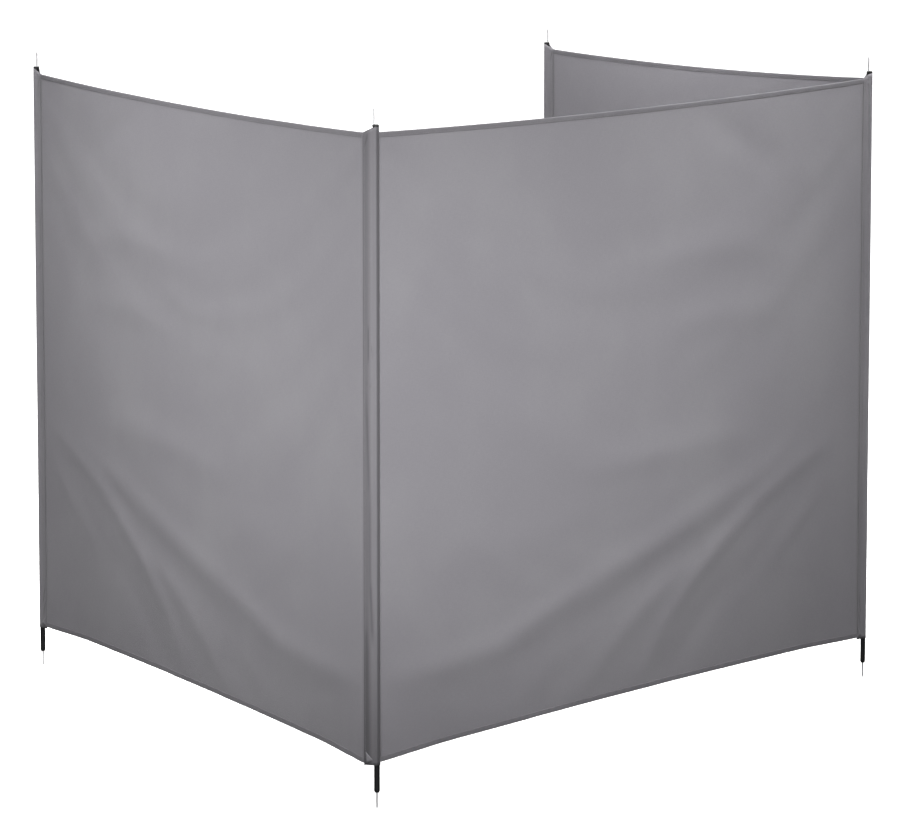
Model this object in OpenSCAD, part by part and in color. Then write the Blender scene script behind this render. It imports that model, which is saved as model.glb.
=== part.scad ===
// Beach windbreak: three bays of cloth between four staked poles.
// The origin is the foot of the near corner pole. X runs along the middle bay, Y to the sheltered side.

/* [Bays] */
// Length of the first bay, from pole centre to pole centre
bay_1_l = 1850; // [600:10:2400]
// Length of the middle bay, from pole centre to pole centre
bay_2_l = 1900; // [600:10:2400]
// Length of the third bay, from pole centre to pole centre
bay_3_l = 1250; // [600:10:2400]
// Angle between the first and the middle bay, in degrees
corner_2 = 66.2; // [50:0.1:130]
// Angle between the middle and the third bay, in degrees
corner_3 = 103.6; // [50:0.1:150]

/* [Cloth] */
// Height of the cloth at a pole
cloth_h = 1400; // [800:10:1700]
// Thickness of a cloth panel
cloth_t = 2; // [1:0.5:4]
// How far the top edge sags at the middle of a bay
top_sag = 11; // [0:1:40]
// How far the bottom edge arches up at the middle of a bay
bottom_rise = 9; // [0:1:40]
// Height of the turned hems
hem_h = 10; // [6:1:30]
// Thickness of a hem
hem_t = 3; // [1:0.5:5]

/* [Pockets] */
// Distance from a pole's centre to the seam of its pocket
pocket_l = 28; // [20:1:60]
// Wall of the pocket round its pole
pocket_t = 1; // [0.5:0.1:2]
// Slack between a pole and its pocket
pocket_slack = 0.4; // [0.3:0.1:3]
// How far the pocket's top slopes down from the pole to the seam
pocket_drop = 12; // [0:1:30]
// How far the bottom hems end above the pocket's bottom
hem_lift = 5; // [0:1:30]
// Angle between the near corner's pocket and the first bay, in degrees
pocket_turn = 62; // [0:1:80]

/* [Poles] */
// Diameter of a pole
pole_d = 12.7; // [8:0.1:22]
// Wall of a pole's tube
pole_wall = 0.9; // [0.6:0.1:2]
// Bare length of pole under the pocket
bare_foot = 61; // [20:1:300]

/* [Pole ends] */
// Height of the foot plug's chamfered end
plug_h = 4; // [3:0.5:10]
// Length of plug and cap inside the tube
stem_l = 20; // [10:1:60]
// Diameter of the cap on top of a pole
cap_d = 14.8; // [10:0.1:26]
// Height of the cap
cap_h = 4.5; // [4:0.5:15]
// Room between the pocket and the cap
cap_gap = 0.5; // [0.3:0.1:3]

/* [Pins] */
// Diameter of the ground spikes and top pins
pin_d = 4; // [3:0.1:5]
// Length that a ground spike stands out below its pole
spike_out = 38; // [20:1:200]
// Length that a top pin stands out above its cap
top_pin_out = 38; // [20:1:80]
// Length of a pin's pointed tip
tip_l = 6; // [3:1:15]
// Depth of a top pin in its cap
top_pin_depth = 3.5; // [2:0.5:3.5]
// Distance of a top pin from its pole's centre
top_pin_offset = 4; // [0:0.5:4]

/* [Hidden] */
$fn = 64;
fit_gap = 0.05;                 // radial room of a stem in its tube and of a pin in its hole
tang_step = 0.2;                // how much thinner a pin is where it sits in its hole
seam_r = 1.5;                   // half the thickness of a pocket's tongue, and its rounded edge
seam_gap = 0.1;                 // room between a pocket's seam and the cloth that is sewn to it
hinge_gap = 0.8;                // room between a pocket and the cloth that turns round it
edge_steps = 24;                // straight pieces in a curved cloth edge
pole_r = pole_d / 2;
pin_r = pin_d / 2;
pocket_r = pole_r + pocket_slack + pocket_t;
pocket_top = bare_foot + cloth_h;
pole_top = pocket_top + cap_gap + cap_h;
cloth_top = pocket_top - pocket_drop;
cloth_low = bare_foot + hem_lift;

function toward(angle) = [cos(angle), sin(angle)];
function heading(from, to) = atan2(to.y - from.y, to.x - from.x);
// Each pole's place in plan
poles = [
    bay_1_l * toward(corner_2),
    [0, 0],
    [bay_2_l, 0],
    [bay_2_l, 0] + bay_3_l * toward(180 - corner_3)
];
// The seam that the first bay's cloth hangs from at the near corner
corner_seam = pocket_l * toward(corner_2 + pocket_turn);
// The direction from each pole to the seam of its pocket
pocket_dirs = [
    heading(poles[0], corner_seam),
    corner_2 + pocket_turn,
    180,
    heading(poles[3], poles[2])
];
// Each bay as [start point, direction, distance to the cloth's start, distance to its end]
bays = [
    [corner_seam, heading(corner_seam, poles[0]), seam_r + seam_gap,
        norm(poles[0] - corner_seam) - pocket_l - seam_r - seam_gap],
    [poles[1], 0, pocket_r + hinge_gap, bay_2_l - pocket_l - seam_r - seam_gap],
    [poles[2], 180 - corner_3, pocket_r + hinge_gap, bay_3_l - pocket_l - seam_r - seam_gap]
];

// Puts a piece at pole n, turned so that its X points at the pocket's seam
module at_pole(n) translate([poles[n - 1].x, poles[n - 1].y, 0]) rotate(pocket_dirs[n - 1]) children();

// Tube of pole n
module pole(n) color([0.12, 0.12, 0.12]) at_pole(n)
    translate([0, 0, plug_h]) difference() {
        cylinder(h = pole_top - cap_h - plug_h, r = pole_r);
        translate([0, 0, -1]) cylinder(h = pole_top, r = pole_r - pole_wall);
    }

// Chamfered plug in the foot of pole n, with a blind hole for the spike
module foot_plug(n) color([0.1, 0.1, 0.1]) at_pole(n) difference() {
    union() {
        cylinder(h = plug_h - 1, r1 = pole_r - 2, r2 = pole_r);
        translate([0, 0, plug_h - 1]) cylinder(h = 1, r = pole_r);
        cylinder(h = plug_h + stem_l, r = pole_r - pole_wall - fit_gap);
    }
    translate([0, 0, -1]) cylinder(h = stem_l + 1, r = pin_r + fit_gap);
}

// Pin that stands out of a face upwards, with a pointed tip above and a thinner tang below
module pin(out, tang) {
    translate([0, 0, -tang]) cylinder(h = tang + out - tip_l, r = pin_r - tang_step);
    cylinder(h = out - tip_l, r = pin_r);
    translate([0, 0, out - tip_l]) cylinder(h = tip_l, r1 = pin_r, r2 = pin_r / 4);
}

// Pointed spike under pole n
module ground_spike(n) color([0.75, 0.75, 0.76]) at_pole(n) mirror([0, 0, 1]) pin(spike_out, stem_l);

// Cap on pole n, with a stem in the tube and a shallow hole for the top pin
module top_cap(n) color([0.1, 0.1, 0.1]) at_pole(n) difference() {
    union() {
        translate([0, 0, pole_top - cap_h]) cylinder(h = cap_h - 1, r = cap_d / 2);
        translate([0, 0, pole_top - 1]) cylinder(h = 1, r1 = cap_d / 2, r2 = cap_d / 2 - 1);
        translate([0, 0, pole_top - cap_h - stem_l])
            cylinder(h = stem_l + cap_h, r = pole_r - pole_wall - fit_gap);
    }
    translate([top_pin_offset, 0, pole_top - top_pin_depth]) cylinder(h = cap_h, r = pin_r + fit_gap);
}

// Pin on the cap of pole n
module top_pin(n) color([0.8, 0.8, 0.81]) at_pole(n)
    translate([top_pin_offset, 0, pole_top]) pin(top_pin_out, top_pin_depth);

// Outline of a pocket: a ring round the pole and a flat tongue with a rounded edge at the seam
module pocket_outline() {
    circle(r = pocket_r);
    translate([0, -seam_r]) square([pocket_l, 2 * seam_r]);
    translate([pocket_l, 0]) circle(r = seam_r);
}

// Cloth pocket round pole n
module pocket(n) color([0.42, 0.42, 0.44]) at_pole(n) difference() {
    translate([0, 0, bare_foot]) linear_extrude(cloth_h) pocket_outline();
    translate([0, 0, bare_foot - 1]) cylinder(h = cloth_h + 2, r = pocket_r - pocket_t);
    rotate([90, 0, 0]) translate([0, 0, -cap_d]) linear_extrude(2 * cap_d)
        polygon([
            [pocket_r, pocket_top], [pocket_r, pocket_top + 1], [pocket_l + 2 * seam_r, pocket_top + 1],
            [pocket_l + 2 * seam_r, cloth_top], [pocket_l - seam_r, cloth_top]
        ]);
}

// Points of a cloth edge from 0 to l at height z, bent up by bend at the middle
function edge(l, z, bend) =
    [for (i = [0:edge_steps]) let (s = i / edge_steps) [s * l, z + bend * 4 * s * (1 - s)]];
function backwards(points) = [for (i = [len(points) - 1:-1:0]) points[i]];

// Strip of cloth along bay n between two edges, each given as [height, bend]
module strip(n, low, high, t) {
    bay = bays[n - 1];
    l = bay[3] - bay[2];
    translate([bay[0].x, bay[0].y, 0]) rotate(bay[1])
        translate([bay[2], t / 2, 0]) rotate([90, 0, 0]) linear_extrude(t)
            polygon(concat(edge(l, low[0], low[1]), backwards(edge(l, high[0], high[1]))));
}

// Cloth of bay n between its hems
module panel(n) color([0.57, 0.56, 0.59])
    strip(n, [cloth_low + hem_h, bottom_rise], [cloth_top - hem_h, -top_sag], cloth_t);

// Turned hem along the top of bay n
module top_hem(n) color([0.46, 0.46, 0.48])
    strip(n, [cloth_top - hem_h, -top_sag], [cloth_top, -top_sag], hem_t);

// Turned hem along the bottom of bay n
module bottom_hem(n) color([0.43, 0.43, 0.45])
    strip(n, [cloth_low, bottom_rise], [cloth_low + hem_h, bottom_rise], hem_t);

pole(1);  // pole_1
pole(2);  // pole_2
pole(3);  // pole_3
pole(4);  // pole_4
foot_plug(1);  // foot_plug_1
foot_plug(2);  // foot_plug_2
foot_plug(3);  // foot_plug_3
foot_plug(4);  // foot_plug_4
ground_spike(1);  // ground_spike_1
ground_spike(2);  // ground_spike_2
ground_spike(3);  // ground_spike_3
ground_spike(4);  // ground_spike_4
top_cap(1);  // top_cap_1
top_cap(2);  // top_cap_2
top_cap(3);  // top_cap_3
top_cap(4);  // top_cap_4
top_pin(1);  // top_pin_1
top_pin(2);  // top_pin_2
top_pin(3);  // top_pin_3
top_pin(4);  // top_pin_4
pocket(1);  // pocket_1
pocket(2);  // pocket_2
pocket(3);  // pocket_3
pocket(4);  // pocket_4
panel(1);  // panel_1
panel(2);  // panel_2
panel(3);  // panel_3
top_hem(1);  // top_hem_1
top_hem(2);  // top_hem_2
top_hem(3);  // top_hem_3
bottom_hem(1);  // bottom_hem_1
bottom_hem(2);  // bottom_hem_2
bottom_hem(3);  // bottom_hem_3
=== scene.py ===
# %% [markdown]
# # A beach windbreak
#
# A windbreak is a low wall of cloth. Four thin poles stand in the sand, and three bays of
# plain-woven polyester are stretched between them, so that people can sit out of the wind.
# Each pole slides into a sewn pocket, has a steel spike for the ground and wears a small cap.
#
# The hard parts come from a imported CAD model, and this lesson dresses them: it paints the
# poles, and makes the cloth, hems, stitches and pockets again as real fabric. Lengths are in
# metres. X runs along the middle bay, Y into the sheltered side and Z up.

# %% Open the frame
import math

import bpy
import numpy as np
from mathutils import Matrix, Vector, noise


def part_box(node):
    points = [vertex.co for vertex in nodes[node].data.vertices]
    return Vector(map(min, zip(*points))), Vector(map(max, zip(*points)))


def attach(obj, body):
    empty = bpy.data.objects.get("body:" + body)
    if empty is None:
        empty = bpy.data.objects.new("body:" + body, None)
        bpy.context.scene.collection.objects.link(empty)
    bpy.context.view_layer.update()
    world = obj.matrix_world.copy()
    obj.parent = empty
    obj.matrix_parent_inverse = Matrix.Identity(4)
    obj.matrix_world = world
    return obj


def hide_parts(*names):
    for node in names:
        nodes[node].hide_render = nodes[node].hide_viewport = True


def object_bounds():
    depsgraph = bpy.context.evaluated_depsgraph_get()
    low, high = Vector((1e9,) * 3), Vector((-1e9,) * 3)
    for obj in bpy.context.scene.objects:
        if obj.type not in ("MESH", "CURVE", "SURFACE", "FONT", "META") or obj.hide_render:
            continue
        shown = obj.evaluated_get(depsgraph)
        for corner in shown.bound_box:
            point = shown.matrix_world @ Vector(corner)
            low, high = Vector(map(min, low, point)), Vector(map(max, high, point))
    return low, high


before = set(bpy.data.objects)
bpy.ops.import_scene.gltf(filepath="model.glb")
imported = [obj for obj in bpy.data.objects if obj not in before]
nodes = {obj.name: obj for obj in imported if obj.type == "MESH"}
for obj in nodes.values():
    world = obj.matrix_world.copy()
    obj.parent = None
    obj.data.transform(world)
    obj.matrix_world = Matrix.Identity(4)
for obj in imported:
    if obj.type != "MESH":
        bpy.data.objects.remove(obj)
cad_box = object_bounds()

scene = bpy.context.scene

# %% [markdown]
# ## The camera
#
# The camera comes first, because it decides which details are worth making. A long lens far
# away keeps the four poles nearly parallel. It stands above head height and looks down by
# eight degrees, into the outer corner between the first and the middle bay.

# %% Camera
camera = bpy.data.objects.new("camera", bpy.data.cameras.new("camera"))
scene.collection.objects.link(camera)
camera.location = (-8.4963, -6.9594, 2.4286)
camera.rotation_euler = (math.radians(81.765), 0, math.radians(-51.513))
camera.data.sensor_width = 36
camera.data.lens = 204.79
scene.camera = camera
print("camera to corner pole:", round(camera.location.length, 2), "m")

# %% [markdown]
# ## Writing shader maths as sums
#
# A finish is a recipe of small sums over the surface: how high a thread stands, how much it
# has faded. Wiring a Math node by hand for every plus sign hides the recipe. So one small
# class wraps a node's output and makes the node when it meets an operator. One method makes
# any other node.

# %% Shader sums
class Finish:
    """One output of a material's nodes, which sums and products can be written with."""

    def __init__(self, tree, socket=None):
        self.tree = tree
        self.socket = socket

    def node(self, kind, settings=None, sockets=None, give=0):
        made = self.tree.nodes.new(kind)
        for name, value in (settings or {}).items():
            if name == "stops":
                ramp = made.color_ramp.elements
                while len(ramp) < len(value):
                    ramp.new(0.5)
                for element, (place, colour) in zip(ramp, value):
                    element.position = place
                    element.color = (*colour, 1)
            else:
                setattr(made, name, value)
        for name, value in (sockets or {}).items():
            if isinstance(value, Finish):
                self.tree.links.new(value.socket, made.inputs[name])
            else:
                made.inputs[name].default_value = value
        return Finish(self.tree, made.outputs[give] if made.outputs else None)

    def other(self, number):
        """Another output of the same node."""
        return Finish(self.tree, self.socket.node.outputs[number])

    def maths(self, operation, first, second=0.0):
        return self.node("ShaderNodeMath", {"operation": operation}, {0: first, 1: second})

    def __add__(self, other):
        return self.maths("ADD", self, other)

    def __radd__(self, other):
        return self.maths("ADD", other, self)

    def __sub__(self, other):
        return self.maths("SUBTRACT", self, other)

    def __rsub__(self, other):
        return self.maths("SUBTRACT", other, self)

    def __mul__(self, other):
        return self.maths("MULTIPLY", self, other)

    def __rmul__(self, other):
        return self.maths("MULTIPLY", other, self)

    def __truediv__(self, other):
        return self.maths("DIVIDE", self, other)

    def __gt__(self, other):
        return self.maths("GREATER_THAN", self, other)

    def sine(self):
        return self.maths("SINE", self)

    def size(self):
        return self.maths("ABSOLUTE", self)

    def between(self, low, high, start, end):
        """Maps low..high smoothly onto start..end."""
        return self.node(
            "ShaderNodeMapRange",
            {"interpolation_type": "SMOOTHSTEP"},
            {"Value": self, "From Min": low, "From Max": high, "To Min": start, "To Max": end},
        )

    def stretched(self, x, y, z):
        """A place, scaled by a different amount along each axis."""
        return self.node(
            "ShaderNodeVectorMath", {"operation": "MULTIPLY"}, {0: self, 1: (x, y, z)}
        )

    def grain(self, scale, detail=3.0, roughness=0.5):
        """Soft noise from 0 to 1 at this place, with scale cycles to the metre."""
        return self.node(
            "ShaderNodeTexNoise",
            {"normalize": True},
            {"Vector": self, "Scale": scale, "Detail": detail, "Roughness": roughness},
        )

    def mixed(self, first, second):
        """The first colour where this mask is 0, the second where it is 1."""
        first, second = ((*part, 1) if isinstance(part, tuple) else part for part in (first, second))
        return self.node("ShaderNodeMix", {"data_type": "RGBA"}, {0: self, 6: first, 7: second}, give=2)

    def raised(self, height):
        """The surface's slope where its height, in metres, changes."""
        return self.node("ShaderNodeBump", {}, {"Height": height, "Distance": 1.0, "Strength": 1.0})


def new_material(name):
    """An empty material, and the first wrapper to write its finish with."""
    material = bpy.data.materials.new(name)
    material.use_nodes = True
    material.node_tree.nodes.clear()
    return material, Finish(material.node_tree)


def coat(start, sockets):
    """Closes a material with one shader."""
    shader = start.node("ShaderNodeBsdfPrincipled", {}, sockets)
    start.node("ShaderNodeOutputMaterial", {}, {"Surface": shader})


print("finishes can be written with + - * / and >")

# %% [markdown]
# ## Woven polyester
#
# The bays are a plain weave: every thread passes over one and under the next, like a
# checkerboard. Close up the threads stand as tiny crowns; from a few metres off what is left
# is a dry surface with a faint sheen, streaks where a thread is thicker, and clouds where the
# dye took more or less. The weave reads each piece's own cloth measure, a stored place in
# metres along and across the thread, so it bends with the cloth and keeps its scale. A second
# stored number is painted shade: it darkens the colour along seams, in creases and where a
# pocket turns round its pole.

# %% Cloth finish
def woven(name, colour, faded, pitch, sheen):
    """A plain weave with this thread pitch in metres, and a colour that clouds towards faded."""
    material, start = new_material(name)
    place = start.node("ShaderNodeAttribute", {"attribute_name": "cloth_place"}, give=1)
    along = place.node("ShaderNodeSeparateXYZ", {}, {"Vector": place})
    across = along.other(1)
    turn = math.pi / pitch
    warp = (along * turn).sine()
    weft = (across * turn).sine()
    over = (warp * weft) > 0.0
    crown = over * warp.size() + (1 - over) * weft.size()
    slub = place.stretched(1.0, 14.0, 1.0).grain(60.0, 2.0)
    slub_up = place.stretched(14.0, 1.0, 1.0).grain(60.0, 2.0)
    cloud = place.grain(2.6, 4.0, 0.55)
    fleck = place.grain(900.0, 1.0)
    streaks = (slub + slub_up) * 0.5
    wear = (cloud.between(0.34, 0.70, 0.12, 0.5) + streaks.between(0.35, 0.65, -0.16, 0.16))
    shade = (wear + fleck.between(0.3, 0.7, -0.1, 0.1)).between(-0.25, 1.0, 0.0, 1.0)
    # Painted shade: the stored number darkens the colour towards a deeper copy of it.
    doubled = start.node("ShaderNodeAttribute", {"attribute_name": "doubled"}, give=2)
    deep = tuple(0.42 * part for part in colour)
    tint = doubled.mixed(shade.mixed(colour, faded), deep)
    threads = (crown * (pitch * 0.12)) + (streaks * 0.00012) + (fleck * 0.00003)
    rough = 0.86 - crown * 0.08 - (shade * 0.06)
    coat(
        start,
        {
            "Base Color": tint,
            "Roughness": rough,
            "Normal": start.raised(threads),
            "Sheen Weight": sheen,
            "Sheen Roughness": 0.45,
            "Specular IOR Level": 0.3,
        },
    )
    return material


panel_cloth = woven("panel_cloth", (0.262, 0.252, 0.276), (0.31, 0.302, 0.322), 0.00046, 0.12)
# The hem cloth is the bay cloth in a darker colour: the shade of its extra layers is painted in.
hem_cloth = woven("hem_cloth", (0.184, 0.177, 0.193), (0.227, 0.22, 0.236), 0.00046, 0.1)
pocket_cloth = woven("pocket_cloth", (0.237, 0.229, 0.248), (0.292, 0.284, 0.303), 0.0005, 0.1)
print("cloth finishes:", panel_cloth.name, hem_cloth.name, pocket_cloth.name)

# %% [markdown]
# ## Sewing thread
#
# The thread is a twisted polyester yarn, a little lighter and shinier than the cloth, so each
# stitch catches a small glint. The twist is only a stripe in its bump.

# %% Thread finish
def twisted_thread(name):
    material, start = new_material(name)
    place = start.node("ShaderNodeAttribute", {"attribute_name": "cloth_place"}, give=1)
    along = place.node("ShaderNodeSeparateXYZ", {}, {"Vector": place})
    twist = ((along + along.other(1)) * (2 * math.pi / 0.0006)).sine()
    worn = place.grain(35.0, 2.0)
    dulled = worn.between(0.3, 0.7, 0.0, 1.0)
    coat(
        start,
        {
            "Base Color": dulled.mixed((0.2, 0.195, 0.21), (0.3, 0.295, 0.31)),
            "Roughness": 0.5 + worn * 0.15,
            "Normal": start.raised(twist * 0.00004),
            "Specular IOR Level": 0.45,
        },
    )
    return material


thread = twisted_thread("sewing_thread")
print("thread finish:", thread.name)

# %% [markdown]
# ## Coated tube, moulded ends and plated pins
#
# The poles are steel tube with a black powder coat: nearly smooth, with the soft orange-peel
# of a coat that melted in an oven, and faint upright scuffs where the pocket rubs. The caps
# and plugs are black moulded plastic with a fine spark texture. The pins are drawn wire with
# bright zinc, which is cloudy up close and dull where sand has scratched it.

# %% Tube finish
def powder_coat(name):
    material, start = new_material(name)
    place = start.node("ShaderNodeTexCoord", give=3)
    peel = place.grain(700.0, 2.0)
    scuff = place.stretched(260.0, 260.0, 9.0).grain(1.0, 4.0, 0.6)
    rub = scuff.between(0.56, 0.7, 0.0, 1.0)
    dust = place.grain(5.0, 3.0).between(0.4, 0.7, 0.0, 0.3)
    coat(
        start,
        {
            "Base Color": (rub * 0.55 + dust).mixed((0.012, 0.012, 0.013), (0.04, 0.039, 0.038)),
            "Roughness": 0.36 + rub * 0.16 + dust * 0.25,
            "Normal": start.raised(peel * 0.00005 - rub * 0.00001),
            "Specular IOR Level": 0.5,
        },
    )
    return material


# %% Plastic finish
def moulded(name):
    material, start = new_material(name)
    place = start.node("ShaderNodeTexCoord", give=3)
    spark = place.grain(2600.0, 1.0)
    rub = place.grain(240.0, 3.0).between(0.55, 0.72, 0.0, 1.0)
    coat(
        start,
        {
            "Base Color": (rub * 0.6).mixed((0.014, 0.014, 0.015), (0.042, 0.041, 0.04)),
            "Roughness": 0.55 + rub * 0.12 + spark * 0.06,
            "Normal": start.raised(spark * 0.00004),
        },
    )
    return material


# %% Pin finish
def zinc_plate(name):
    material, start = new_material(name)
    place = start.node("ShaderNodeTexCoord", give=3)
    drawn = place.stretched(2400.0, 2400.0, 60.0).grain(1.0, 2.0)
    cloud = place.grain(130.0, 3.0)
    scratch = place.stretched(500.0, 500.0, 1500.0).grain(1.0, 2.0).between(0.6, 0.7, 0.0, 1.0)
    coat(
        start,
        {
            "Base Color": (cloud * 0.7 + scratch * 0.3).mixed((0.68, 0.68, 0.69), (0.58, 0.58, 0.59)),
            "Metallic": 0.15,
            "Roughness": 0.4 + cloud * 0.14 + scratch * 0.16,
            "Normal": start.raised(drawn * 0.00002 - scratch * 0.00003),
        },
    )
    return material


tube_finish = powder_coat("pole_tube")
plastic_finish = moulded("end_plastic")
zinc_finish = zinc_plate("pin_steel")
for kind, finish in (
    ("pole", tube_finish),
    ("foot_plug", plastic_finish),
    ("top_cap", plastic_finish),
    ("ground_spike", zinc_finish),
    ("top_pin", zinc_finish),
):
    for number in (1, 2, 3, 4):
        piece = nodes[f"{kind}_{number}"]
        piece.data.materials.clear()
        piece.data.materials.append(finish)
print("painted the hard parts of", 4, "poles")

# %% [markdown]
# ## Where each bay runs
#
# The poles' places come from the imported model. Every pocket has a bearing, the way from its
# pole to the seam where the cloth is sewn on. At the corner pole the pocket points inwards,
# and the first bay starts from its seam.

# %% Bays
def middle_of(name):
    low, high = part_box(name)
    return (low + high) / 2


def towards(degrees):
    return Vector((math.cos(math.radians(degrees)), math.sin(math.radians(degrees)), 0))


pole_at = {n: Vector((*middle_of(f"pole_{n}").xy, 0)) for n in (1, 2, 3, 4)}
pocket_reach = 0.028
pocket_bearing = {1: -114.57, 2: 128.2, 3: 180.0, 4: -103.6}
pocket_body = {1: "bay_1", 2: "bay_1", 3: "middle_bay", 4: "bay_3"}
bay_body = {1: "bay_1", 2: "middle_bay", 3: "bay_3"}
hinge_side = 0.0084
tuck_in = 0.003

corner_seam = pole_at[2] + towards(pocket_bearing[2]) * pocket_reach
bay_start = {1: corner_seam, 2: pole_at[2], 3: pole_at[3]}
bay_end = {1: pole_at[1], 2: pole_at[3], 3: pole_at[4]}
bay_way = {n: (bay_end[n] - bay_start[n]).normalized() for n in (1, 2, 3)}
outside = {
    1: Vector((-bay_way[1].y, bay_way[1].x, 0)),
    2: Vector((bay_way[2].y, -bay_way[2].x, 0)),
    3: Vector((bay_way[3].y, -bay_way[3].x, 0)),
}
first_at = {1: 0.0, 2: hinge_side, 3: hinge_side}
last_at = {n: (bay_end[n] - bay_start[n]).length - pocket_reach + tuck_in for n in (1, 2, 3)}
for n in (1, 2, 3):
    print("bay", n, "cloth runs", round(last_at[n] - first_at[n], 3), "m")

# %% [markdown]
# ## Folds that tension makes
#
# A stretched bay is never flat. It is pulled hardest between the foot of its first pole and
# the middle of its far pole, and folds rise along that line. Each fold is a path of a few
# points, given as metres from the near pole and metres up, with a width and a height: a crest
# has a positive height and a hollow a negative one. Below the lowest fold the cloth tucks
# towards the sheltered side, so it faces the ground a little and looks darker.

# %% Fold paths
long_bay_folds = [
    # the long crest from the near pole's foot up to the far pole
    (
        [
            (-0.05, 0.246), (0.25, 0.248), (0.44, 0.262), (0.62, 0.318),
            (0.88, 0.378), (1.2, 0.462), (1.66, 0.59),
        ],
        0.035,
        0.0026,
    ),
    # the hollow under it
    (
        [
            (0.1, 0.15), (0.28, 0.15), (0.45, 0.165), (0.6, 0.22),
            (0.85, 0.295), (1.07, 0.37), (1.45, 0.475),
        ],
        0.055,
        -0.0018,
    ),
    # the second crest, up from the hem
    (
        [
            (0.96, 0.08), (1.07, 0.22), (1.18, 0.315),
            (1.3, 0.39), (1.45, 0.47), (1.74, 0.58),
        ],
        0.028,
        0.0027,
    ),
    # the hollow beside it
    ([(1.05, 0.07), (1.15, 0.15), (1.25, 0.24), (1.4, 0.33)], 0.045, -0.002),
    # the third crest
    ([(0.72, 0.08), (0.84, 0.18), (0.98, 0.27), (1.2, 0.36)], 0.03, 0.0016),
    # the hollow beside that
    ([(0.56, 0.08), (0.64, 0.14), (0.76, 0.2)], 0.045, -0.0016),
    # soft crests over the long one
    ([(0.7, 0.605), (1.0, 0.628), (1.2, 0.634), (1.46, 0.63)], 0.045, 0.0019),
    ([(0.96, 1.08), (1.3, 1.095), (1.56, 1.065)], 0.042, 0.0014),
    ([(1.05, 0.92), (1.3, 0.93), (1.56, 0.92)], 0.036, 0.0012),
    # a hollow at the upper far corner
    ([(1.15, 1.43), (1.34, 1.35), (1.55, 1.26)], 0.042, -0.0016),
    # a soft swell over the near foot
    ([(0.15, 0.5), (0.5, 0.48), (0.85, 0.53)], 0.055, 0.0013),
    # a small crest at the far lower corner
    ([(1.45, 0.28), (1.6, 0.38), (1.76, 0.5)], 0.03, 0.0012),
]


def fold_height(s, z, path, width, height):
    """How far a fold lifts the cloth at metres s along and z up."""
    places = np.array(path)
    nearest = np.full(s.shape, 9.0)
    along = np.zeros(s.shape)
    gaps = np.diff(places, axis=0)
    lengths = np.hypot(gaps[:, 0], gaps[:, 1])
    done = 0.0
    for start, gap, length in zip(places, gaps, lengths):
        t = np.clip(((s - start[0]) * gap[0] + (z - start[1]) * gap[1]) / length**2, 0, 1)
        away = np.hypot(s - start[0] - t * gap[0], z - start[1] - t * gap[1])
        closer = away < nearest
        nearest = np.where(closer, away, nearest)
        along = np.where(closer, done + t * length, along)
        done += length
    share = along / done
    fade = np.sin(np.clip(share, 0.0, 1.0) * math.pi) ** 0.6
    return height * fade * np.exp(-((nearest / width) ** 2))


def gentle(x, y, seed, size):
    """Smooth noise over the cloth, from about -1 to 1."""
    values = [noise.noise(Vector((a / size, b / size, seed))) for a, b in zip(x.ravel(), y.ravel())]
    return np.array(values).reshape(x.shape)


print("folds on a long bay:", len(long_bay_folds))

# %% [markdown]
# ## The cloth of a bay
#
# The sheet starts as a grid of points 12 mm apart, already cut to its arched edges and with
# its folds laid in. Then it is hung: both upright edges are sewn down, and the cloth
# simulation lets the rest go under its own weight. The rest lengths are those of the folded
# sheet, so the folds stay. No point may travel more than a small cap, which keeps the bay
# inside the space of its CAD panel. So nearly all of a bay's shape is what was laid in, and
# the hanging only eases it.

# %% Sheet helpers
def grid_faces(columns, rows, flip=False):
    index = np.arange(columns * rows).reshape(columns, rows)
    a, b = index[:-1, :-1].ravel(), index[1:, :-1].ravel()
    c, d = index[1:, 1:].ravel(), index[:-1, 1:].ravel()
    faces = np.stack([a, b, c, d] if not flip else [d, c, b, a], axis=1)
    return faces


def make_piece(name, points, faces, finish, place, doubled=None):
    """A smooth mesh object, with the cloth measure and the painted shade that the weave reads."""
    mesh = bpy.data.meshes.new(name)
    mesh.from_pydata(points.tolist(), [], [list(f) for f in faces])
    stored = mesh.attributes.new("cloth_place", "FLOAT_VECTOR", "POINT")
    stored.data.foreach_set("vector", np.asarray(place, np.float32).ravel())
    layers = mesh.attributes.new("doubled", "FLOAT", "POINT")
    if doubled is not None:
        layers.data.foreach_set("value", np.asarray(doubled, np.float32).ravel())
    mesh.materials.append(finish)
    mesh.shade_smooth()
    mesh.update()
    piece = bpy.data.objects.new(name, mesh)
    scene.collection.objects.link(piece)
    return piece


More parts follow.
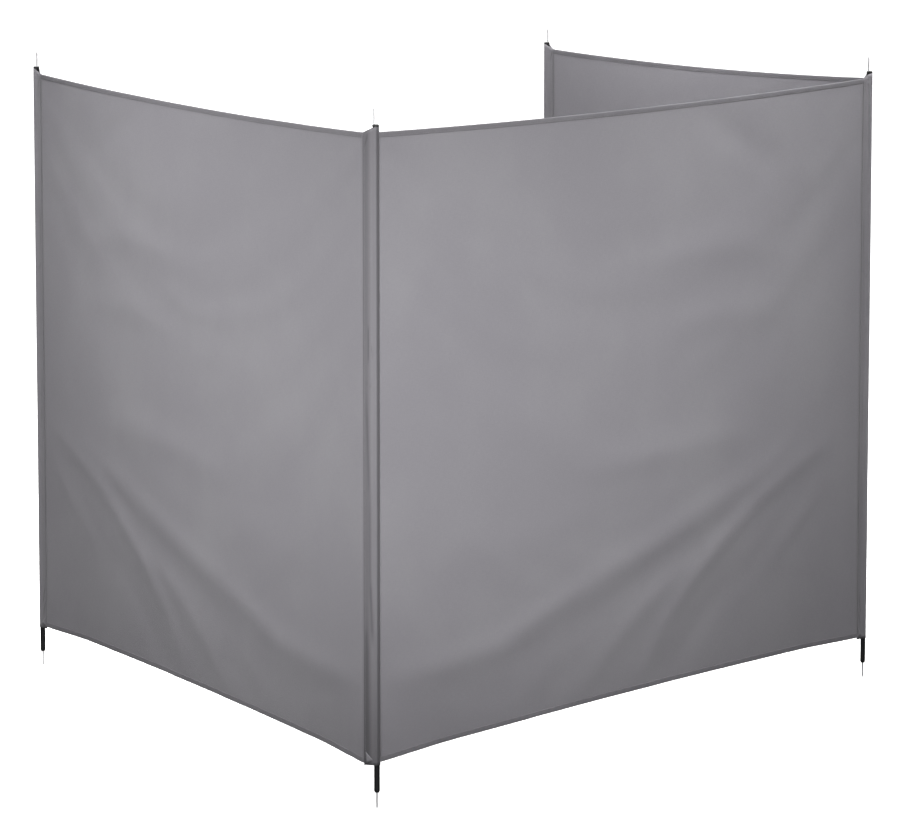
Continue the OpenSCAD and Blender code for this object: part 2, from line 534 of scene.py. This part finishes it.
def hang(points, hold, frames, cap):
    """Settles a sheet under its own weight. hold is 1 where a point is sewn down."""
    columns, rows = points.shape[:2]
    flat = points.reshape(-1, 3)
    mesh = bpy.data.meshes.new("hanging")
    mesh.from_pydata(flat.tolist(), [], grid_faces(columns, rows).tolist())
    sheet = bpy.data.objects.new("hanging", mesh)
    scene.collection.objects.link(sheet)
    sewn = sheet.vertex_groups.new(name="sewn")
    for index, share in enumerate(hold.ravel()):
        if share > 0:
            sewn.add([index], float(share), "REPLACE")
    cloth = sheet.modifiers.new("cloth", "CLOTH")
    cloth.settings.vertex_group_mass = "sewn"
    cloth.settings.quality = 5
    cloth.settings.mass = 0.02
    cloth.settings.tension_stiffness = 30
    cloth.settings.compression_stiffness = 30
    cloth.settings.shear_stiffness = 8
    cloth.settings.bending_stiffness = 1.2
    cloth.point_cache.frame_start = 1
    cloth.point_cache.frame_end = frames
    for step in range(1, frames + 1):
        scene.frame_set(step)
    seen = sheet.evaluated_get(bpy.context.evaluated_depsgraph_get())
    found = np.zeros(len(flat) * 3)
    seen.data.vertices.foreach_get("co", found)
    bpy.data.objects.remove(sheet)
    bpy.data.meshes.remove(mesh)
    scene.frame_set(1)
    moved = found.reshape(-1, 3) - flat
    travel = np.linalg.norm(moved, axis=1, keepdims=True)
    kept = np.tanh(travel / cap) * cap / np.maximum(travel, 1e-9)
    print("  settled by up to", round(float(travel.max()) * 1000, 1), "mm")
    print("  of which kept", round(float((kept * travel).max()) * 1000, 1), "mm")
    return (flat + moved * kept).reshape(points.shape)


def sheet_normals(points, face_towards):
    """The way each point of a sheet faces, towards the given side."""
    along = np.gradient(points, axis=0)
    up = np.gradient(points, axis=1)
    facing = np.cross(along, up)
    facing /= np.linalg.norm(facing, axis=2, keepdims=True)
    side = np.sign((facing * np.array(face_towards)).sum(axis=2, keepdims=True).mean())
    return facing * side


# %% Cut and hang the three bays
grid_step = 0.012
cloth_thick = 0.0007
top_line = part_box("top_hem_2")[1].z
low_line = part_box("bottom_hem_2")[0].z
top_sag = 0.011
bottom_rise = 0.009
tuck_depth = 0.016
fold_strength = 1.5
# The third bay is shorter, and its folds are drawn narrower and much weaker.
fold_scale = {1: 1.0, 2: 1.0, 3: 0.68}
# Where the lowest fold runs: metres along the bay, and metres up.
lowest_fold = ([0.0, 0.46, 0.9, 1.3, 1.85], [0.235, 0.25, 0.37, 0.49, 0.6])
# Soft unevenness of the whole sheet: its height, its size, its seed, and its squeeze upwards.
swells = ((0.0012, 0.22, 3.7, 1.0), (0.0004, 0.06, 8.1, 0.6))


def edge_heights(t):
    """The cloth's lower and upper edge at share t of the bay."""
    bow = 4 * t * (1 - t)
    return low_line + 0.0007 + bottom_rise * bow, top_line - 0.0007 - top_sag * bow


def bay_grid(n):
    """A bay's points before it is hung, and each one's place on the cloth."""
    length = last_at[n] - first_at[n]
    columns = int(round(length / grid_step)) + 1
    rows = int(round((top_line - low_line) / grid_step)) + 1
    t = np.linspace(0, 1, columns)
    low, high = edge_heights(t)
    share = np.linspace(0, 1, rows)
    s = np.repeat((first_at[n] + t * length)[:, None], rows, axis=1)
    z = low[:, None] + (high - low)[:, None] * share[None, :]
    measure = s / fold_scale[n]
    lift = np.zeros(s.shape)
    for path, width, height in long_bay_folds:
        lift += fold_height(measure, z, path, width, fold_strength * height * fold_scale[n] ** 2)
    fold_line = np.interp(measure, *lowest_fold)
    below = np.clip((fold_line - z) / fold_line, 0, 1)
    hold_ends = np.clip(np.minimum(s - first_at[n], last_at[n] - s) / 0.25, 0, 1)
    hold_ends = hold_ends * hold_ends * (3 - 2 * hold_ends)
    lift -= tuck_depth * below**1.3 * hold_ends
    for height, size, seed, squeeze in swells:
        lift += height * gentle(measure, z * squeeze, seed + n, size) * hold_ends
    fade = np.clip(np.minimum(s - first_at[n], last_at[n] - s) / 0.03, 0, 1)
    lift *= fade
    at = np.array(bay_start[n])[None, None, :] + s[:, :, None] * np.array(bay_way[n])
    at = at + lift[:, :, None] * np.array(outside[n])
    at[:, :, 2] += z
    place = np.stack([s, z, np.full(s.shape, float(n))], axis=2)
    return at, place


settled = {}
cloth_place = {}
for n in (1, 2, 3):
    points, place = bay_grid(n)
    hold = np.zeros(points.shape[:2])
    hold[0, :] = 1
    hold[-1, :] = 1
    hold[:, 0] = np.maximum(hold[:, 0], 0.1)
    hold[:, -1] = np.maximum(hold[:, -1], 0.3)
    points = hang(points, hold, frames=12, cap=0.0006)
    settled[n] = points
    cloth_place[n] = place
    print("bay", n, "grid", points.shape[:2])

# %% [markdown]
# ## Giving the sheet its thickness
#
# The fabric is drawn 0.7 mm thick. Two copies of the settled points are set half that far to
# each side and joined round the edge. That is what a Solidify modifier does too; done by
# hand it keeps the same points for the hems that are sewn on next. The two upright edges are
# caught in the pockets' seams, and shade is painted into their colour there.

# %% Panels
# How much shade is painted along the near and the far upright edge of a bay.
near_seam_shade = 0.55
far_seam_shade = 0.4


def thick_sheet(name, points, place, thick, finish, face_towards):
    columns, rows = points.shape[:2]
    facing = sheet_normals(points, face_towards)
    outer = (points + facing * thick / 2).reshape(-1, 3)
    inner = (points - facing * thick / 2).reshape(-1, 3)
    count = columns * rows
    index = np.arange(count).reshape(columns, rows)
    rim = np.concatenate([index[:, 0], index[-1, 1:], index[-2::-1, -1], index[0, -2:0:-1]])
    ahead = np.roll(rim, -1)
    sides = np.stack([rim, rim + count, ahead + count, ahead], axis=1)
    front = grid_faces(columns, rows)
    back = grid_faces(columns, rows, flip=True) + count
    across = np.cross(points[1, 0] - points[0, 0], points[0, 1] - points[0, 0])
    if np.dot(across, facing[0, 0]) < 0:
        front, back, sides = front[:, ::-1], back[:, ::-1], sides[:, ::-1]
    faces = np.concatenate([front, back, sides])
    both = np.concatenate([place.reshape(-1, 3), place.reshape(-1, 3)])
    doubled = np.zeros((columns, rows))
    doubled[0, :] = near_seam_shade
    doubled[-1, :] = far_seam_shade
    layers = np.concatenate([doubled.ravel(), doubled.ravel()])
    return make_piece(name, np.concatenate([outer, inner]), faces, finish, both, layers)


panels = {}
for n in (1, 2, 3):
    panels[n] = thick_sheet(
        f"bay_{n}_cloth", settled[n], cloth_place[n], cloth_thick, panel_cloth, outside[n]
    )
    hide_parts(f"panel_{n}")
    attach(panels[n], bay_body[n])
    print(panels[n].name, "faces", len(panels[n].data.polygons))

# %% [markdown]
# ## Hems
#
# Along the top and the bottom the cloth is folded over and stitched, so the edge doesn't fray
# and has two more layers. The shade those layers give against the light is painted into the
# hem's colour, so it is drawn darker than the bay. The band follows the settled edge point by
# point. Each stitch pulls it thinner, and between two stitches it puffs out again.

# %% Hem bands
hem_puff = 0.0011
hem_fold = 0.004
hem_step = 0.003
stitch_pitch = 0.0036


def edge_frame(n, top):
    """The settled edge, the way into the cloth from it, and the way it faces, every 3 mm."""
    points = settled[n]
    facing = sheet_normals(points, outside[n])
    edge, inward = (points[:, -1], points[:, -2]) if top else (points[:, 0], points[:, 1])
    side = facing[:, -1] if top else facing[:, 0]
    run = np.concatenate([[0], np.cumsum(np.linalg.norm(np.diff(edge, axis=0), axis=1))])
    fine = np.linspace(0, run[-1], int(run[-1] / hem_step) + 1)

    def spread(values):
        return np.stack([np.interp(fine, run, values[:, k]) for k in range(3)], axis=1)

    into = spread(inward - edge)
    into /= np.linalg.norm(into, axis=1, keepdims=True)
    out = spread(side)
    out -= into * (out * into).sum(axis=1, keepdims=True)
    out /= np.linalg.norm(out, axis=1, keepdims=True)
    return fine, spread(edge), into, out


def loop_faces(columns, around, closed=True):
    """Faces of a tube of rings, with its two ends filled."""
    index = np.arange(columns * around).reshape(columns, around)
    ahead = np.roll(index, -1, axis=1)
    sides = np.stack([index[:-1], index[1:], ahead[1:], ahead[:-1]], axis=2).reshape(-1, 4)
    faces = [list(f) for f in sides]
    if closed:
        faces.append(list(index[0]))
        faces.append(list(index[-1][::-1]))
    return faces


def hem_band(n, top):
    """One folded band round a bay's edge. Its outline goes round the fold once: each point is
    a depth into the cloth, in metres, and a share of the puff to one side."""
    run, edge, into, out = edge_frame(n, top)
    outline = [
        (-0.0012, 0.0), (-0.0009, 0.8), (0.0006, 1.0), (0.0035, 1.05), (0.0065, 0.95),
        (0.0085, 0.7), (0.0098, 0.95), (0.0105, 0.75), (0.0105, -0.75), (0.0098, -0.95),
        (0.0085, -0.7), (0.0065, -0.95), (0.0035, -1.05), (0.0006, -1.0), (-0.0009, -0.8),
    ]
    pucker = 1 + 0.16 * np.sin(2 * math.pi * run / (stitch_pitch * 2.0))
    pucker += 0.14 * np.array([noise.noise(Vector((r / 0.017, n, 4.0 + top))) for r in run])
    waver = 0.0005 * np.array([noise.noise(Vector((r / 0.05, n, 9.0 + top))) for r in run])
    rings = []
    for depth, swell in outline:
        deep = depth + (waver if depth > hem_fold else 0.0 * waver)
        rings.append(edge + into * deep[:, None] + out * (swell * hem_puff * pucker)[:, None])
    points = np.stack(rings, axis=1)
    columns, around = points.shape[:2]
    place = np.zeros(points.shape)
    place[:, :, 0] = run[:, None]
    place[:, :, 1] = np.array([d for d, _ in outline])[None, :]
    place[:, :, 2] = 20 + n
    return make_piece(
        f"bay_{n}_{'top' if top else 'bottom'}_hem",
        points.reshape(-1, 3),
        loop_faces(columns, around),
        hem_cloth,
        place.reshape(-1, 3),
    )


for n in (1, 2, 3):
    for top in (True, False):
        band = hem_band(n, top)
        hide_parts(f"{'top' if top else 'bottom'}_hem_{n}")
        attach(band, bay_body[n])

# %% [markdown]
# ## Stitches
#
# A line of lockstitch is a row of short threads with a dip between each two. Every stitch
# here is one small spindle of twelve triangles, laid on the cloth with its ends sunk in.

# %% Stitch rows
stitch_long = 0.0027
stitch_thick = 0.00036
seam_depth = 0.0083


def stitch_row(name, centres, ways, outs, run):
    """One mesh of stitches, at these places, pointing these ways."""
    sides = np.cross(ways, outs)
    angles = np.arange(6) * math.pi / 3
    ring = []
    for a in angles:
        ring.append(
            centres + outs * (math.sin(a) * stitch_thick) + sides * (math.cos(a) * stitch_thick)
        )
    sunk = outs * stitch_thick
    tips = [centres - ways * stitch_long / 2 - sunk, centres + ways * stitch_long / 2 - sunk]
    points = np.stack(ring + tips, axis=1)
    faces = []
    for k in range(len(centres)):
        base = k * 8
        for a in range(6):
            b = (a + 1) % 6
            faces.append([base + a, base + b, base + 6])
            faces.append([base + b, base + a, base + 7])
    place = np.zeros(points.shape)
    place[:, :, 0] = run[:, None]
    place[:, 6, 0] -= stitch_long / 2
    place[:, 7, 0] += stitch_long / 2
    place[:, :, 1] = np.concatenate([np.sin(angles) * stitch_thick, [0, 0]])[None, :]
    return make_piece(name, points.reshape(-1, 3), faces, thread, place.reshape(-1, 3))


def hem_stitches(n, top):
    """The two rows of a hem's seam, one on each side of the cloth."""
    run, edge, into, out = edge_frame(n, top)
    at = np.arange(0.004, run[-1] - 0.004, stitch_pitch)

    def picked(values):
        return np.stack([np.interp(at, run, values[:, k]) for k in range(3)], axis=1)

    line, deep, side = picked(edge), picked(into), picked(out)
    deep /= np.linalg.norm(deep, axis=1, keepdims=True)
    side /= np.linalg.norm(side, axis=1, keepdims=True)
    way = np.gradient(line, axis=0)
    way /= np.linalg.norm(way, axis=1, keepdims=True)
    stand = hem_puff * 0.78 + 0.0001
    front = line + deep * seam_depth + side * stand
    back = line + deep * seam_depth - side * stand
    return stitch_row(
        f"bay_{n}_{'top' if top else 'bottom'}_stitches",
        np.concatenate([front, back]),
        np.concatenate([way, way]),
        np.concatenate([side, -side]),
        np.concatenate([at, at]),
    )


for n in (1, 2, 3):
    for top in (True, False):
        row = hem_stitches(n, top)
        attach(row, bay_body[n])

# %% [markdown]
# ## Pole pockets
#
# A pocket is a strip of heavier cloth folded round the pole, with its two edges sewn to the
# bay 28 mm away. It is tight round the pole. Towards the seam its two faces come together in
# a flat tongue, and each face may stand off that tongue where the strip has slack. The outer
# face at the third pole has none, because the last bay swings close past it there.

# %% Pocket outline
sleeve_radius = 0.0074
tongue_half = 0.0012
strip_thick = 0.0005
slack = {1: (1.0, 1.0), 2: (1.0, 0.7), 3: (0.0, 0.8), 4: (1.0, 1.0)}
lip_reach = np.array([0.0078, 0.0100, 0.0122, 0.0145, 0.0168, 0.0192, 0.0216, 0.0240, 0.0264])
flat_lip = np.array([20, 16, 13, 12, 12, 12, 12, 12, 13]) * 1e-4
full_lip = np.array([52, 47.5, 42, 35.5, 28, 20.5, 14.5, 12, 12]) * 1e-4
ring_start = math.radians(52)


def pocket_outline(left, right):
    """Points round a pocket, and the way out of it at each, in metres from the pole's axis.
    The first axis points from the pole to the seam. left and right are each face's slack."""
    around = np.linspace(ring_start, 2 * math.pi - ring_start, 34)
    ring = np.stack([np.cos(around), np.sin(around)], axis=1) * sleeve_radius
    lips = [flat_lip + (full_lip - flat_lip) * share for share in (left, right)]
    seam = np.array([[0.0276, -0.0011], [0.0280, 0.0], [0.0276, 0.0011]])
    left_face = np.stack([lip_reach, lips[0]], axis=1)
    right_face = np.stack([lip_reach, -lips[1]], axis=1)
    outline = np.concatenate([ring, right_face, seam, left_face[::-1]])
    way = np.roll(outline, -1, axis=0) - np.roll(outline, 1, axis=0)
    way /= np.linalg.norm(way, axis=1, keepdims=True)
    return outline, np.stack([way[:, 1], -way[:, 0]], axis=1)


def round_length(outline):
    gaps = np.linalg.norm(np.diff(outline, axis=0), axis=1)
    return np.concatenate([[0], np.cumsum(gaps)])


def pocket_frame(n):
    """A pole's place, the way its pocket points, and the way the tongue's left face faces."""
    along = np.array(towards(pocket_bearing[n]))
    return np.array(pole_at[n]), along, np.array([-along[1], along[0], 0])


outlines = {n: pocket_outline(*slack[n]) for n in (1, 2, 3, 4)}
for n, (outline, _) in outlines.items():
    closing = float(np.linalg.norm(outline[0] - outline[-1]))

# %% [markdown]
# ## Wrinkles of a pocket
#
# Wrinkles are a height over the strip: long upright ones from stretched noise, and short
# creases listed one by one. A crease is a line from one place to another on the strip, each
# given as metres of reach from the pole and metres up. It dents the cloth, and a little shade
# is painted along it. Round the pole, cloth can only stand outwards.

# %% Creases
pocket_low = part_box("pocket_2")[0].z
pocket_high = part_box("pocket_2")[1].z
slant = 0.012
level_step = 0.008

# Each crease in these lists: its start and end, its width, how far it dents the cloth, and how much
# shade is painted along it.
corner_creases = [
    ((0.016, 1.447), (0.0245, 1.418), 0.0011, -0.0008, 0.75),
    ((0.0175, 1.037), (0.0165, 0.942), 0.0011, -0.0009, 0.55),
    ((0.0105, 0.990), (0.0080, 0.960), 0.0010, -0.0006, 0.4),
    ((0.0270, 0.907), (0.0010, 0.891), 0.0022, -0.0005, 0.15),
    ((0.0220, 0.900), (0.0140, 0.610), 0.0026, -0.0005, 0.3),
    ((0.0145, 0.690), (0.0138, 0.410), 0.0026, -0.0006, 0.35),
    ((0.0140, 0.490), (0.0085, 0.320), 0.0026, -0.0007, 0.6),
    ((0.0222, 0.370), (0.0235, 0.020), 0.0027, -0.0007, 0.95),
    ((0.0110, 0.150), (-0.0040, 0.170), 0.0016, 0.0005, 0.0),
]
other_creases = [
    ((0.0250, 1.447), (0.0165, 1.415), 0.0011, -0.0006, 0.55),
    ((0.0190, 1.120), (0.0200, 1.010), 0.0014, -0.0006, 0.3),
    ((0.0260, 0.985), (0.0020, 0.955), 0.0020, -0.0005, 0.2),
    ((0.0180, 0.700), (0.0150, 0.560), 0.0016, -0.0006, 0.25),
    ((0.0225, 0.175), (0.0120, 0.120), 0.0012, -0.0007, 0.6),
    ((0.0240, 0.135), (0.0130, 0.090), 0.0012, -0.0006, 0.5),
]


def crease_marks(reach, z, lines):
    """How deep the creases dent each place of a strip, and how much shade is painted there."""
    depth = np.zeros(reach.shape)
    dark = np.zeros(reach.shape)
    for start, end, width, lift, shade in lines:
        gap = np.array(end) - np.array(start)
        long = float(np.hypot(*gap))
        t = ((reach - start[0]) * gap[0] + (z - start[1]) * gap[1]) / long**2
        away = ((reach - start[0]) * gap[1] - (z - start[1]) * gap[0]) / long
        ends = np.clip(np.minimum(t, 1 - t) / 0.25, 0, 1)
        mark = ends * np.exp(-((away / width) ** 2))
        depth += lift * mark
        dark = np.maximum(dark, shade * mark)
    return depth, dark


# %% [markdown]
# ## Lofting the pockets
#
# One outline rises up the pole in steps of 8 mm, and each step is wrinkled by its heights.
# An outer and an inner skin keep the real thickness of the strip, so the ends show as open
# sleeves with the pole inside. The top is cut on a slant, down towards the seam.

# %% Pockets
# Painted shade along each pocket's seam, strongest at the corner pocket.
seam_shade = {1: 0.12, 2: 0.5, 3: 0.12, 4: 0.12}
hug_end = 0.006


def pocket_shade(n, outline, far, z, fine, dark):
    """How much shade is painted on a pocket: at its seam, where it rounds the pole, and in its
    creases. The corner pocket is darker all over, and most near its foot."""
    seam_painted_shade = np.clip((far - 0.0100) / 0.0090, 0, 1) * seam_shade[n] + (far > 0.0268) * 0.3
    turned = np.degrees(np.arctan2(outline[:, 1], outline[:, 0])) % 360
    # Painted shade where the pocket rounds the pole: at the corner pocket on its side towards the
    # middle bay, at the others behind the pole.
    if n == 2:
        join = np.exp(-(((turned - 132.0) / 34.0) ** 4))
        dark = dark + 0.28 * np.clip((0.42 - z) / 0.3, 0, 1)
    else:
        join = 0.4 * np.exp(-(((turned - 180.0) / 14.0) ** 6))
    join = join * (outline[:, 0] < hug_end)
    shade = np.maximum(seam_painted_shade, join[None, :] * (1 + 0.12 * fine)) + dark
    if n == 2:
        shade = 0.4 + 0.77 * shade
    return np.clip(shade, 0, 1)


def pocket_heights(n, outline, run, levels):
    """Each level's height up the pole, the lift of the cloth there, and the shade painted on it."""
    rise = np.linspace(0, 1, levels)
    reach = outline[:, 0]
    drop = np.clip((reach - 0.002) / (pocket_reach - 0.002), 0, 1) * slant
    z = pocket_low + (pocket_high - drop - pocket_low)[None, :] * rise[:, None]
    far = np.repeat(reach[None, :], levels, axis=0)
    across = np.repeat(run[None, :], levels, axis=0)
    upright = gentle(across * 14, z, 1.7 * n, 0.13)
    fine = gentle(across * 9, z, 1.7 * n + 31, 0.04)
    on_tongue = np.clip((far - 0.0075) / 0.004, 0, 1)
    bulge = (1 - on_tongue) * (0.0002 + 0.0002 * upright + 0.00007 * fine)
    ripple = on_tongue * (0.00042 * upright + 0.00014 * fine)
    ripple *= np.clip((0.0275 - far) / 0.005, 0.12, 1)
    dent, dark = crease_marks(far, z, corner_creases if n == 2 else other_creases)
    lift = np.maximum(bulge + ripple + dent * (far > hug_end), -0.0007)
    lift = np.maximum(lift, np.where(far < hug_end, 0.0, -1.0))
    return z, lift, pocket_shade(n, outline, far, z, fine, dark)


def make_pocket(n):
    """A whole pocket: two skins, joined at both ends."""
    outline, way_out = outlines[n]
    run = round_length(outline)
    levels = int(round((pocket_high - pocket_low) / level_step)) + 1
    z, lift, doubled = pocket_heights(n, outline, run, levels)
    around = len(outline)
    foot, along, aside = pocket_frame(n)
    points = []
    for inset in (0.0, strip_thick):
        skin = outline[None, :, :] + way_out[None, :, :] * (lift - inset)[:, :, None]
        at = foot[None, None, :] + skin[:, :, :1] * along
        at = at + skin[:, :, 1:] * aside
        at[:, :, 2] += z
        points.append(at.reshape(-1, 3))
    count = levels * around
    outer = loop_faces(levels, around, closed=False)
    faces = outer + [[v + count for v in f[::-1]] for f in outer]
    for level, turned in ((0, False), (levels - 1, True)):
        a = level * around + np.arange(around)
        b = np.roll(a, -1)
        ring = np.stack([a, b, b + count, a + count], axis=1)
        faces += [list(f[::-1] if turned else f) for f in ring]
    across = np.repeat(run[None, :], levels, axis=0)
    place = np.stack([across, z, np.full(z.shape, 40.0 + n)], axis=2).reshape(-1, 3)
    piece = make_piece(
        f"pole_{n}_pocket",
        np.concatenate(points),
        faces,
        pocket_cloth,
        np.concatenate([place] * 2),
        np.concatenate([doubled.ravel()] * 2),
    )
    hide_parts(f"pocket_{n}")
    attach(piece, pocket_body[n])
    return piece


pockets = {n: make_pocket(n) for n in (1, 2, 3, 4)}
print("pockets:", [len(p.data.polygons) for p in pockets.values()])

# %% [markdown]
# ## Turned-up corners
#
# At the foot of each pocket the strip's corner is turned up and caught in the seam. It is one
# layer of cloth and carries no painted shade, so it shows as a small triangle, paler than the
# seam behind it, where shade is painted. It is a thin prism, bowed a little off the tongue.

# %% Corner flaps
def corner_flap(n, face):
    """face is 1 for the left face of the tongue and -1 for the right one."""
    foot, along, aside = pocket_frame(n)
    aside = aside * face
    loose = slack[n][0 if face > 0 else 1]
    near = 0.0085 if loose > 0 else 0.0125
    corners = np.array([(0.0245, 0.091), (0.0225, 0.0665), (near, 0.0725)])
    steps = 6
    flat = []
    for i in range(steps + 1):
        for j in range(steps + 1 - i):
            a, b = i / steps, j / steps
            flat.append(corners[0] * (1 - a - b) + corners[1] * a + corners[2] * b)
    flat = np.array(flat)
    lips = flat_lip + (full_lip - flat_lip) * loose
    base = np.interp(flat[:, 0], lip_reach, lips) + 0.00055
    hump = np.exp(-(((flat[:, 0] - 0.018) / 0.006) ** 2)) * 0.0006
    index = {}
    for k, (i, j) in enumerate((i, j) for i in range(steps + 1) for j in range(steps + 1 - i)):
        index[i, j] = k
    faces = []
    for i, j in list(index):
        if (i + 1, j) in index and (i, j + 1) in index:
            faces.append([index[i, j], index[i + 1, j], index[i, j + 1]])
        if (i + 1, j) in index and (i, j + 1) in index and (i + 1, j + 1) in index:
            faces.append([index[i + 1, j], index[i + 1, j + 1], index[i, j + 1]])
    count = len(flat)
    rim = [index[i, 0] for i in range(steps + 1)]
    rim += [index[steps - j, j] for j in range(1, steps + 1)]
    rim += [index[0, steps - j] for j in range(1, steps)]
    skins = []
    for high in (hump + base + 0.0004, base):
        at = foot[None, :] + flat[:, :1] * along + high[:, None] * aside
        at[:, 2] += flat[:, 1]
        skins.append(at)
    whole = [f[::-1] for f in faces] + [[v + count for v in f] for f in faces]
    for a, b in zip(rim, rim[1:] + rim[:1]):
        whole.append([a, b, b + count, a + count])
    if face < 0:
        whole = [f[::-1] for f in whole]
    place = np.stack([flat[:, 0], flat[:, 1], np.full(count, 60.0 + n)], axis=1)
    piece = make_piece(
        f"pole_{n}_corner_flap",
        np.concatenate(skins),
        whole,
        pocket_cloth,
        np.concatenate([place] * 2),
    )
    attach(piece, pocket_body[n])
    return piece


flaps = {n: corner_flap(n, face) for n, face in ((1, -1), (2, 1), (3, 1), (4, -1))}
print("corner flaps:", len(flaps))

# %% [markdown]
# ## The seams of the pockets
#
# A row of stitches runs up each tongue, a few millimetres in from the seam, through both
# layers and the bay's cloth between them. It shows on both sides.

# %% Pocket stitches
seam_reach = 0.0252


def pocket_stitches(n):
    """The two rows of a pocket's seam, one on each face of the tongue."""
    foot, along, aside = pocket_frame(n)
    at = np.arange(pocket_low + 0.006, pocket_high - slant - 0.004, stitch_pitch)
    line = foot[None, :] + along * seam_reach + np.outer(at, (0, 0, 1))
    up = np.tile((0.0, 0.0, 1.0), (len(at), 1))
    out = np.tile(aside, (len(at), 1))
    deep = tongue_half + 0.00012
    row = stitch_row(
        f"pole_{n}_pocket_stitches",
        np.concatenate([line + out * deep, line - out * deep]),
        np.concatenate([up, up]),
        np.concatenate([out, -out]),
        np.concatenate([at, at]),
    )
    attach(row, pocket_body[n])
    return row


pocket_rows = {n: pocket_stitches(n) for n in (1, 2, 3, 4)}
print("stitches on the pockets:", sum(len(r.data.vertices) // 8 for r in pocket_rows.values()))

# %% [markdown]
# ## What the cloth is
#

print("sheets declared:", 7)

# %% [markdown]
# ## Floor and backdrop
#
# The floor is plain and pale, and a plain white wall stands all round it, far off. Both are
# kept out of the bounced light: the cloth then takes its light from the lamps and the sky
# alone, and stays darker towards the ground.

# %% Floor and backdrop
floor_level = cad_box[0][2] - 0.0005


def pale_paint(name, glow):
    material, start = new_material(name)
    place = start.node("ShaderNodeTexCoord", give=3)
    mottle = place.grain(1.5, 3.0).between(0.3, 0.7, 0.0, 1.0)
    coat(
        start,
        {
            "Base Color": mottle.mixed((0.9, 0.9, 0.9), (0.93, 0.93, 0.93)),
            "Roughness": 0.8,
            "Emission Color": (1.0, 1.0, 1.0, 1.0),
            "Emission Strength": glow,
        },
    )
    return material


def stage_piece(name, points, faces, finish):
    mesh = bpy.data.meshes.new(name)
    mesh.from_pydata(points, [], faces)
    mesh.materials.append(finish)
    piece = bpy.data.objects.new(name, mesh)
    scene.collection.objects.link(piece)
    piece.visible_diffuse = False
    piece.visible_glossy = False
    return piece


wide = 60.0
floor = stage_piece(
    "floor",
    [(x * wide, y * wide, floor_level) for x, y in ((-1, -1), (1, -1), (1, 1), (-1, 1))],
    [(0, 1, 2, 3)],
    pale_paint("floor_paint", 0.72),
)
sides = 48
ring = [(math.cos(2 * math.pi * k / sides), math.sin(2 * math.pi * k / sides)) for k in range(sides)]
backdrop = stage_piece(
    "backdrop",
    [(x * wide * 0.9, y * wide * 0.9, z) for z in (floor_level, 40.0) for x, y in ring],
    [(k, (k + 1) % sides, (k + 1) % sides + sides, k + sides) for k in range(sides)],
    pale_paint("backdrop_paint", 0.85),
)
backdrop.visible_shadow = False
print("floor at", round(floor_level, 4), "m")

# %% [markdown]
# ## Lamps
#
# One spotlight stands in front of the corner and makes a soft pool on both outer faces. Two
# more fill the long bays. Two close ones keep their far ends bright near the top only, since
# a near lamp fades quickly downwards, and one lights the last bay from inside. Softboxes hang
# high up in front, behind and at the side: their light rakes down the cloth, so a fold's
# upper side is lit and its lower side falls into shade. The sky is white overhead and nearly
# black at the horizon.

# %% Lamps
def aim(name, light, place, target):
    lamp = bpy.data.objects.new(name, light)
    scene.collection.objects.link(lamp)
    lamp.location = place
    lamp.rotation_euler = (Vector(target) - Vector(place)).to_track_quat("-Z", "Y").to_euler()
    return lamp


def softbox(name, place, target, across, watts):
    light = bpy.data.lights.new(name, "AREA")
    light.shape = "DISK"
    light.size = across
    light.energy = watts
    return aim(name, light, place, target)


def spotlight(name, place, target, cone, softness, watts):
    light = bpy.data.lights.new(name, "SPOT")
    light.spot_size = math.radians(cone)
    light.spot_blend = softness
    light.shadow_soft_size = 0.35
    light.energy = watts
    return aim(name, light, place, target)


sky_low = 0.04
sky_high = 1.8
spotlight("corner_pool", (-3.29, -2.61, 1.5), (0.0, 0.0, 0.9), 29, 1.0, 830)
spotlight("middle_bay_fill", (0.75, -2.7, 2.2), (0.8, 0.0, 1.25), 50, 1.0, 76)
spotlight("first_bay_fill", (-2.25, 1.75, 2.2), (0.3, 0.7, 1.25), 50, 1.0, 138)
softbox("high_middle_bay", (0.9, -1.5, 4.2), (0.9, 0.0, 0.9), 1.2, 18)
softbox("high_first_bay", (-1.2, 1.4, 4.2), (0.3, 0.8, 0.9), 1.2, 8)
softbox("high_back", (2.2, 3.4, 5.0), (1.0, 0.6, 0.6), 2.4, 200)
softbox("right_side", (6.2, 0.4, 3.2), (2.0, 0.5, 0.8), 2.4, 260)
spotlight("inside_third_bay", (0.5, 0.9, 2.6), (2.05, 0.6, 1.3), 40, 1.0, 47)
spotlight("far_middle_bay", (1.8, -0.9, 2.8), (1.8, 0.0, 1.15), 80, 1.0, 80)
spotlight("far_first_bay", (-0.22, 1.73, 2.8), (0.605, 1.37, 1.15), 80, 1.0, 58)
world = bpy.data.worlds.new("studio")
scene.world = world
world.use_nodes = True
world.node_tree.nodes.clear()
start = Finish(world.node_tree)
sky = start.node("ShaderNodeSeparateXYZ", {}, {"Vector": start.node("ShaderNodeTexCoord", give=0)})
height = sky.other(2)
light = start.node(
    "ShaderNodeBackground",
    {},
    {"Color": (1.0, 1.0, 1.0, 1.0), "Strength": height.between(0.4, 0.9, sky_low, sky_high)},
)
start.node("ShaderNodeOutputWorld", {}, {"Surface": light})
scene.view_settings.view_transform = "Standard"
scene.view_settings.look = "None"
